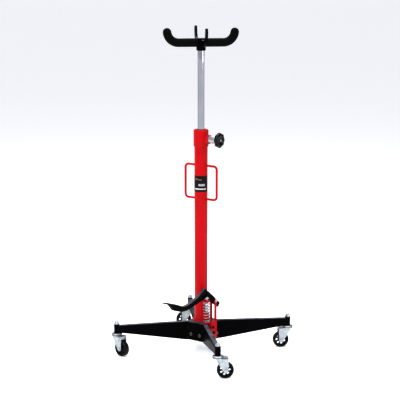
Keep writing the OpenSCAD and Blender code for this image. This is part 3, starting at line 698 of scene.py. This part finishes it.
def axleMesh():
    out = caster["cheekIn"] + caster["cheek"]
    parts = [disc(axle["radius"], -out, out, 0.3, steps=24)]
    for turn in (0, 180):
        place = turned(turn, "X") @ shifted(0, 0, out)
        parts.append((disc(axle["washer"], 0.4, axle["washerTop"], 0.3, steps=32), place))
        head = hexHead(axle["flats"], axle["washerTop"], axle["headTop"])
        parts.append((head, place @ turned(axle["headTurn"])))
    return joined(*parts)


for name in casterNames:
    makePiece("pressed_fork_" + name, forkMesh(), onCaster(name), zincPlate, "caster_" + name,
              ["fork_" + name], bevel=0.6)
    makePiece("axle_bolt_" + name, axleMesh(), onWheel(name), zincPlate, "caster_" + name,
              ["axle_" + name])
    disk = makePiece("caster_wheel_" + name, wheelMesh(), onWheel(name), wheelNylon, "roller_" + name,
                     ["wheel_" + name])
    cutter = windowCutter()
    cutter.transform(onWheel(name))
    drill(disk, cutter)
    soften(disk, 0.5)
legEnds = [shifted(leg["reach"] * math.cos(a), leg["reach"] * math.sin(a), 0)
           for a in (0, math.pi / 2, math.pi, -math.pi / 2)]
nuts = [(capNut(), end @ turned(9 + 31 * k)) for k, end in enumerate(legEnds)]
makePiece("cap_nut_set", joined(*nuts), onBase(), zincPlate, "base", ["caster_nuts"])
races = [(raceMesh(), end) for end in legEnds]
makePiece("swivel_race_set", joined(*races), onBase(), zincPlate, "base", ["caster_races"])
print("casters made")


# Column, collar and what is fixed to them

column = {"radius": 30, "bore": 27, "foot": 151, "collarLow": 967, "top": 1045, "collarRadius": 34,
          "glandRadius": 24, "knobZ": 1002, "fillerZ": 937, "fillerTurn": -84}


def tubeMesh():
    r, low, high = column["radius"], column["foot"], column["collarLow"]
    levels = [low + (high - low) * k / 12 for k in range(13)]
    outline = [(column["bore"], low), *[(r, z) for z in levels], (column["bore"], high)]
    return joined(lathe(outline, 96), weldRing(r + 0.6, low + 1.2, 2.6))


makePiece("column_tube", tubeMesh(), onColumn(), redEnamel, "base", ["outer_tube"])

knob = {"radius": 35, "lobes": 8, "dip": 3.4, "start": 92.6, "thick": 19, "sleeve": 18, "sleeveEnd": 92,
        "sleeveBore": 6.05, "spindle": 5.95, "root": 20.5, "rootEnd": 50}


def collarMesh():
    r, low, high = column["collarRadius"], column["collarLow"], column["top"]
    bore, step = column["glandRadius"], low + 18  # below the step the bore is as wide as the tube's
    outline = [(column["bore"], low, 0.3), (r - 1.6, low, 0), (r, low + 2.2, 1), (r, low + 5, 0.5),
               (r - 0.5, low + 6, 0.3), (r, low + 7, 0.5), (r, high - 3.5, 1.2), (r - 3, high, 1.2),
               (bore, high, 0.6), (bore, step, 0.3), (column["bore"], step, 0.3)]
    reach = knob["root"] + 0.8
    seam = []
    for a in [2 * math.pi * k / 60 for k in range(61)]:  # where the root meets the round collar
        y = reach * math.cos(a)
        seam.append((math.sqrt(r * r - y ** 2) + 0.6, y, column["knobZ"] + reach * math.sin(a)))
    root = disc(knob["root"], 26.5, knob["rootEnd"], 1.2, bore=knob["sleeve"] + 0.05)
    return joined(lathe(rounded(outline, 0.5, steps=3), 96), weldBead(seam, 2.6),
                  (root, shifted(0, 0, column["knobZ"]) @ turned(90, "Y")))


makePiece("column_collar", collarMesh(), onColumn(), redEnamel, "base", ["top_collar"])

filler = joined(disc(5, -3, 0.5, 0.3, steps=24), disc(7.6, 0, 1.2, 0.4, steps=32), hexHead(13, 1.2, 4))
fillerPlace = onColumn(column["fillerZ"], column["fillerTurn"]) @ shifted(column["radius"], 0, 0)
makePiece("filler_screw", filler, fillerPlace @ turned(90, "Y"), redEnamel, "base", ["filler_plug"])

labelSheet = {"low": 760, "high": 834, "start": -155, "turn": 170, "thick": 0.4, "steps": 40}


def labelMesh():
    sections = []
    low, high, start, turn = (labelSheet[key] for key in ("low", "high", "start", "turn"))
    inner, outer = column["radius"] + 0.02, column["radius"] + labelSheet["thick"]
    for k in range(labelSheet["steps"] + 1):
        a = math.radians(start + turn * k / labelSheet["steps"])
        corners = [(inner, low), (outer, low), (outer, high), (inner, high)]
        sections.append([(x * math.cos(a), x * math.sin(a), z) for x, z in corners])
    mesh = loft(sections)
    layer = mesh.loops.layers.uv.new("spread")
    for face in mesh.faces:
        for loop in face.loops:
            at = loop.vert.co
            a = math.degrees(math.atan2(at.y, at.x))
            loop[layer].uv = ((a - start) / turn, (at.z - low) / (high - low))
    return mesh


makePiece("wrapped_label", labelMesh(), onColumn(), labelFilm, "base", ["label"])

handle = {"reach": 88, "bend": 16, "rod": 5, "low": 725, "high": 880}


def handleMesh():
    low, high, reach, root = handle["low"], handle["high"], handle["reach"], column["bore"] + 0.5
    path = rounded([(root, low), (reach, low), (reach, high), (root, high)], handle["bend"],
                   closed=False, steps=9)
    parts = [tube([(x, 0, z) for x, z in path], handle["rod"], 24)]
    for z in (low, high):
        ring = weldRing(handle["rod"] + 0.7, 0, 1.7)
        parts.append((ring, shifted(column["radius"] + 0.3, 0, z) @ turned(90, "Y")))
    return joined(*parts)


for name, turn in (("near", 0), ("far", 180)):
    makePiece("grab_handle_" + name, handleMesh(), onColumn(0, turn), redEnamel, "base",
              ["handle_" + name])


def sleeveMesh():
    r, end, bore = knob["sleeve"], knob["sleeveEnd"], knob["sleeveBore"]
    outline = [(bore, 33), (r, 28), (r, end - 12, 0.4), (r - 0.7, end - 11, 0.3), (r - 0.7, end - 9, 0.3),
               (r, end - 8, 0.4), (r, end, 1.5), (bore, end, 0.8)]
    return lathe(rounded(outline, 0.3, steps=3), 64)


def knobMesh():
    top, lobes = knob["thick"], knob["lobes"]
    levels = [(0, 0.50), (0.2, 0.74), (1.2, 0.86), (3, 0.96), (5, 1), (top - 7, 1), (top - 4, 0.965),
              (top - 2, 0.88), (top - 0.6, 0.74), (top - 0.4, 0.5), (top - 2.2, 0.44), (top - 2.4, 0.2)]
    sections = []
    count = lobes * 18
    for z, share in levels:
        ring = []
        for k in range(count):
            a = 2 * math.pi * k / count
            dip = knob["dip"] * (0.5 - 0.5 * math.cos(lobes * a)) ** 0.8 * max(0, (share - 0.4) / 0.6)
            r = knob["radius"] * share - dip
            ring.append((r * math.cos(a), r * math.sin(a), z))
        sections.append(ring)
    return loft(sections)


sideways = onColumn(column["knobZ"]) @ turned(90, "Y")
makePiece("clamp_sleeve", sleeveMesh(), sideways, zincPlate, "base", ["clamp_boss"])
makePiece("lobed_knob", knobMesh(), sideways @ shifted(0, 0, knob["start"]), knobResin, "knob",
          ["star_knob"], sharp=50)
spindleHead = (hexHead(10, 0, 1.6), shifted(0, 0, knob["start"] + knob["thick"] - 2.2))
makePiece("knob_spindle", joined(disc(knob["spindle"], 25, 106, 0.8, steps=32), spindleHead), sideways,
          zincPlate, "knob", ["clamp_screw"])
print("column made")


# Ram and saddle

ram = {"radius": 15, "low": 562, "high": 1401.6, "spigot": 12, "spigotTop": 1423.6}
ramProfile = [(0, ram["low"]), (ram["radius"], ram["low"], 1)]
ramProfile += [(ram["radius"], z, 0) for z in range(600, 1400, 50)]
ramProfile += [(ram["radius"], ram["high"], 0.8), (ram["spigot"], ram["high"], 0.3),
               (ram["spigot"], ram["spigotTop"], 1), (0, ram["spigotTop"])]
ramProfile = rounded(ramProfile, 0.5, closed=False, steps=3)
makePiece("chromed_ram", lathe(ramProfile, 96), onColumn(), ramChrome, "ram", ["ram"])

saddle = {"hub": 21, "low": 1402, "top": 1457, "socket": 23, "z": 1437, "straight": 102, "bend": 52,
          "turn": 84, "sleeve": 19, "sides": 40, "armFrom": 17, "armThick": 10, "armHeight": 26,
          "armTip": 17}


def hubMesh():
    r, low, top = saddle["hub"], saddle["low"], saddle["top"]
    bore, roof = ram["spigot"] + 0.05, saddle["low"] + saddle["socket"]
    outline = [(0, roof), (bore, roof), (bore, low, 0.5), (r, low, 1.5), (r, low + 8, 0.3),
               (r, top - 6, 0.5), (r, top, 2.5), (0, top)]
    return lathe(rounded(outline, 0.4, closed=False, steps=3), 72)


makePiece("saddle_socket", hubMesh(), onColumn(), blackEnamel, "saddle", ["saddle_hub"])


def foamMesh():
    path = [(x, 0, saddle["z"]) for x in (18, 19.5, 24, 40, 55, 70, 85)]
    path += [(x, 0, z) for x, z in arc(saddle["straight"], saddle["z"] + saddle["bend"], saddle["bend"],
                                       -90, -90 + saddle["turn"], 22)]
    a = math.radians(-90 + saddle["turn"])
    tip = Vector((saddle["straight"] + saddle["bend"] * math.cos(a), 0,
                  saddle["z"] + saddle["bend"] * (1 + math.sin(a))))
    out = Vector((-math.sin(a), 0, math.cos(a)))
    shell = tube(path, saddle["sleeve"], saddle["sides"], capped=False)
    rows = []
    steps = 9
    side = out.orthogonal().normalized()
    up = out.cross(side)
    turns = [2 * math.pi * j / saddle["sides"] for j in range(saddle["sides"])]
    for k in range(steps):  # the round end of the foam
        t = math.radians(90 * k / steps)
        r, height = saddle["sleeve"] * math.cos(t), saddle["sleeve"] * math.sin(t)
        rows.append([tip + out * height + (side * math.cos(b) + up * math.sin(b)) * r for b in turns])
    mesh = joined(shell, loft(rows, capped=False))
    bmesh.ops.remove_doubles(mesh, verts=mesh.verts, dist=0.6)
    bmesh.ops.holes_fill(mesh, edges=mesh.edges)
    bmesh.ops.recalc_face_normals(mesh, faces=mesh.faces)
    for vert in mesh.verts:  # the foam creases a little inside its bend
        x, z = vert.co.x - saddle["straight"], vert.co.z - saddle["z"] - saddle["bend"]
        distance = math.hypot(x, z)
        if x > 0 and z < 0 and distance < saddle["bend"]:
            crease = 0.5 * math.sin(math.atan2(z, x) * 34) * (1 - distance / saddle["bend"])
            vert.co.x += crease * x / distance
            vert.co.z += crease * z / distance
    return mesh


for name, turn in (("right", 45), ("left", 225)):
    foam = makePiece("foam_sleeve_" + name, foamMesh(), onColumn(0, turn), foamSleeve, "saddle",
                     ["sleeve_" + name], sharp=70)


def armMesh():
    z, straight, bend, half = saddle["z"], saddle["straight"], saddle["bend"], saddle["armHeight"] / 2
    centre, out, tip = z + bend, straight + bend, z + bend + saddle["armTip"]
    outline = [(saddle["armFrom"], z - half), *arc(straight, centre, bend + half, -90, 0, 18)]
    outline += [(out + half, centre - 0.5), (out + half * 0.5, tip), (out - half * 0.5, tip),
                (out - half, centre - 0.5)]
    outline += arc(straight, centre, bend - half, 0, -90, 14) + [(saddle["armFrom"], z + half)]
    blade = plate(outline, -saddle["armThick"] / 2, saddle["armThick"] / 2)
    parts = [(blade, turned(90, "X"))]
    x = saddle["hub"] - 0.2
    for side in (1, -1):
        y = side * (saddle["armThick"] / 2 + 0.4)
        parts.append(weldBead([(x, y, z - half + 3), (x, y, z + half - 3)], 2))
    return joined(*parts)


for name, turn in (("front", -45), ("rear", 135)):
    makePiece("plate_arm_" + name, armMesh(), onColumn(0, turn), blackEnamel, "saddle",
              ["arm_" + name], bevel=1.4)
print("saddle made")


# Foot pump

lever = {"thick": 16, "half": 11, "tread": 5, "treadWidth": 46,
         "straight": [(-50, 218.7), (-15, 247), (20, 275)],
         "bend": [(60, 306), (86, 292), (120, 278), (165, 265), (209, 260), (244, 264), (276, 274),
                  (290, 280)],
         "toe": [(298, 294.2), (327, 303.3), (313, 289.5)],
         "doubler": [(-10, 251), (20, 275), (47, 296)], "doublerThick": 1.8,
         "treadPath": [(262, 269), (302, 285), (330, 294), (350, 299)]}


def leverMesh():
    path = lever["straight"] + flowing(lever["bend"], 5)
    half, thick = lever["half"], lever["thick"] / 2
    bar = plate(band(path, -half, half, lever["toe"]), -thick, thick)
    cheek = band(lever["doubler"], -half - 0.2, half + 0.4)
    parts = [(bar, turned(90, "X"))]
    for side in (1, -1):
        skin = plate(cheek, -lever["doublerThick"] / 2, lever["doublerThick"] / 2)
        parts.append((skin, shifted(0, side * (thick + 0.5), 0) @ turned(90, "X")))
    seam = [(50, y, 296 + half * 1.15) for y in (-7, 7)]  # across the bar, just under its bend
    parts.append(weldBead(seam, 1.8))
    return joined(*parts)


makePiece("bent_lever", leverMesh(), onPump(), blackEnamel, "pedal", ["lever_bar"], bevel=1.8)


def treadMesh():
    path = flowing(lever["treadPath"], 5)
    low, high, half = lever["half"] + 0.1, lever["half"] + lever["tread"] - 1.6, lever["treadWidth"] / 2
    sheet = plate(band(path, low, high), -half, half)
    parts = [(sheet, turned(90, "X"))]
    top = beside(path, high)
    for at in top[1:-1]:
        rib = [(at.x, y, at.y + 0.3) for y in (-half + 3, -half / 3, half / 3, half - 3)]
        parts.append(tube(rib, 1.6, 10))
    return joined(*parts)


makePiece("ribbed_tread", treadMesh(), onPump(), blackEnamel, "pedal", ["pedal_plate"], bevel=1.0)

pivot = {"u": -15, "v": 48, "z": 247, "radius": 5, "half": 15, "head": 8, "headThick": 3}
half, tip = pivot["half"], pivot["half"] + pivot["headThick"]
pin = joined(disc(pivot["radius"], -half, half, 0.3, steps=32),
             disc(pivot["head"], half, tip, 1.1, steps=40),
             disc(pivot["head"], -tip, -half, 1.1, steps=40))
pivotPlace = onPump(pivot["u"], pivot["v"], pivot["z"]) @ turned(90, "X")
makePiece("pivot_pin", pin, pivotPlace, zincPlate, "base", ["fulcrum_pin"])

pump = {"u": 37, "plunger": 8, "low": 177, "head": 266, "capLow": 251, "cap": 14, "capTop": 261.8,
        "barrel": 11, "barrelLow": 156.2, "barrelTop": 201, "turns": 8, "springLow": 156.4,
        "springRadius": 16, "wire": 2}


def plungerMesh():
    r, low, high = pump["plunger"], pump["low"], pump["head"]
    outline = [(0, low), (r, low, 0.5), (r, high - 4, 2.5), (5, high, 1.6), (0, high)]
    return lathe(rounded(outline, 0.5, closed=False, steps=5), 48)


def springCollarMesh():
    r, low, high, flange = pump["plunger"], pump["capLow"], pump["capTop"], pump["cap"]
    outline = [(r, low, 0.3), (flange, low, 0.8), (flange, low + 4.5, 1.6), (10.5, low + 6, 1),
               (10, high, 1), (r, high, 0.3)]
    return lathe(rounded(outline, 0.5), 48)


barrel = disc(pump["barrel"], pump["barrelLow"], pump["barrelTop"], 1, bore=pump["plunger"] + 0.05)
makePiece("pump_barrel", barrel, onPump(pump["u"]), redEnamel, "base", ["pump_cylinder"])
makePiece("round_plunger", plungerMesh(), onPump(pump["u"]), ramChrome, "plunger", ["pump_plunger"])
makePiece("spring_collar", springCollarMesh(), onPump(pump["u"]), redEnamel, "plunger", ["spring_cap"])


def springMesh():
    turns = pump["turns"]
    count = turns * 28
    low, high = pump["springLow"] + pump["wire"], pump["capLow"] - pump["wire"]
    flat = 0.85  # this much of each end turn lies almost flat
    path = []
    for k in range(count + 1):
        turn = turns * k / count
        past = max(0, turn - turns + flat)
        rise = (max(0, turn - flat) - past) / (turns - 2 * flat)
        tilt = (min(turn, flat) + past) / flat
        z = low + (high - low) * (0.03 * tilt + 0.94 * rise)
        a = 2 * math.pi * turn
        path.append((pump["springRadius"] * math.cos(a), pump["springRadius"] * math.sin(a), z))
    return tube(path, pump["wire"], 12)


spring = makePiece("coil_spring", springMesh(), onPump(pump["u"]), zincPlate, "plunger", ["pump_spring"],
                   sharp=60)
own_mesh(spring)
print("pump made")


# Floor, light and camera

def paleFloor():
    data = bpy.data.meshes.new("floor")
    mesh = bmesh.new()
    bmesh.ops.create_grid(mesh, x_segments=1, y_segments=1, size=200)
    mesh.to_mesh(data)
    mesh.free()
    floor = bpy.data.objects.new("floor", data)
    scene.collection.objects.link(floor)
    material = bpy.data.materials.new("pale_floor")
    material.use_nodes = True
    shader = material.node_tree.nodes["Principled BSDF"]
    shader.inputs["Base Color"].default_value = (0.93, 0.93, 0.93, 1)
    shader.inputs["Roughness"].default_value = 0.9
    shader.inputs["Specular IOR Level"].default_value = 0.1
    shader.inputs["Emission Color"].default_value = (1, 1, 1, 1)
    shader.inputs["Emission Strength"].default_value = 0.32
    data.materials.append(material)


def studioSky(look):  # a soft room: its tone changes gently round the object
    world = bpy.data.worlds.new("studio")
    scene.world = world
    world.use_nodes = True
    tree = world.node_tree
    place = tree.nodes.new("ShaderNodeTexCoord").outputs["Generated"]
    turn = tree.nodes.new("ShaderNodeTexGradient")
    turn.gradient_type = "RADIAL"
    tree.links.new(place, turn.inputs["Vector"])
    tones = tree.nodes.new("ShaderNodeValToRGB")
    tree.links.new(turn.outputs["Fac"], tones.inputs["Fac"])
    for k, (at, tone) in enumerate(look["tones"]):
        stop = tones.color_ramp.elements[k] if k < 2 else tones.color_ramp.elements.new(at)
        stop.position = at
        stop.color = (*tone, 1)
    back = tree.nodes["Background"]
    tree.links.new(tones.outputs["Color"], back.inputs["Color"])
    back.inputs["Strength"].default_value = look["strength"]


def softbox(name, position, target, size, power, colour=(1, 1, 1)):
    data = bpy.data.lights.new(name, "AREA")
    data.shape = "RECTANGLE"
    data.size, data.size_y = size
    data.energy = power
    data.color = colour
    lamp = bpy.data.objects.new(name, data)
    lamp.location = position
    lamp.rotation_euler = (Vector(target) - Vector(position)).to_track_quat("-Z", "Y").to_euler()
    scene.collection.objects.link(lamp)


paleFloor()
studioSky({"strength": 1.0, "tones": [(0.0, (0.78, 0.72, 0.73)), (1.0, (0.78, 0.72, 0.73)),
                                      (0.26, (0.66, 0.58, 0.60)), (0.285, (0.62, 0.76, 0.90)),
                                      (0.48, (0.66, 0.78, 0.92)), (0.54, (0.06, 0.08, 0.12)),
                                      (0.66, (0.06, 0.08, 0.12)), (0.70, (0.90, 0.90, 0.90))]})
softbox("key_light", (-2.6, -3.2, 3.4), (0, 0, 0.6), (2.2, 2.2), 150)
softbox("fill_light", (3.4, -2.2, 2.2), (0, 0, 0.8), (1.6, 2.4), 60, (0.92, 0.96, 1))
softbox("top_light", (0.3, 0.8, 4.2), (0, 0, 0.2), (3.0, 3.0), 130)

cameraView = {"azimuth": 9.17, "distance": 5.5, "height": 1.764, "pan": -0.15, "pitch": -10.76,
              "lens": 109.7}
cameraData = bpy.data.cameras.new("camera")
cameraData.lens = cameraView["lens"]
cameraData.sensor_width = 36
cameraData.clip_end = 600
camera = bpy.data.objects.new("camera", cameraData)
around = math.radians(cameraView["azimuth"])
camera.location = (-math.sin(around) * cameraView["distance"], -math.cos(around) * cameraView["distance"],
                   cameraView["height"])
camera.rotation_euler = (math.radians(90 + cameraView["pitch"]), 0,
                         -math.radians(cameraView["azimuth"] + cameraView["pan"]))
scene.collection.objects.link(camera)
scene.camera = camera
scene.view_settings.view_transform = "Standard"
scene.view_settings.gamma = 0.75
print("studio ready")
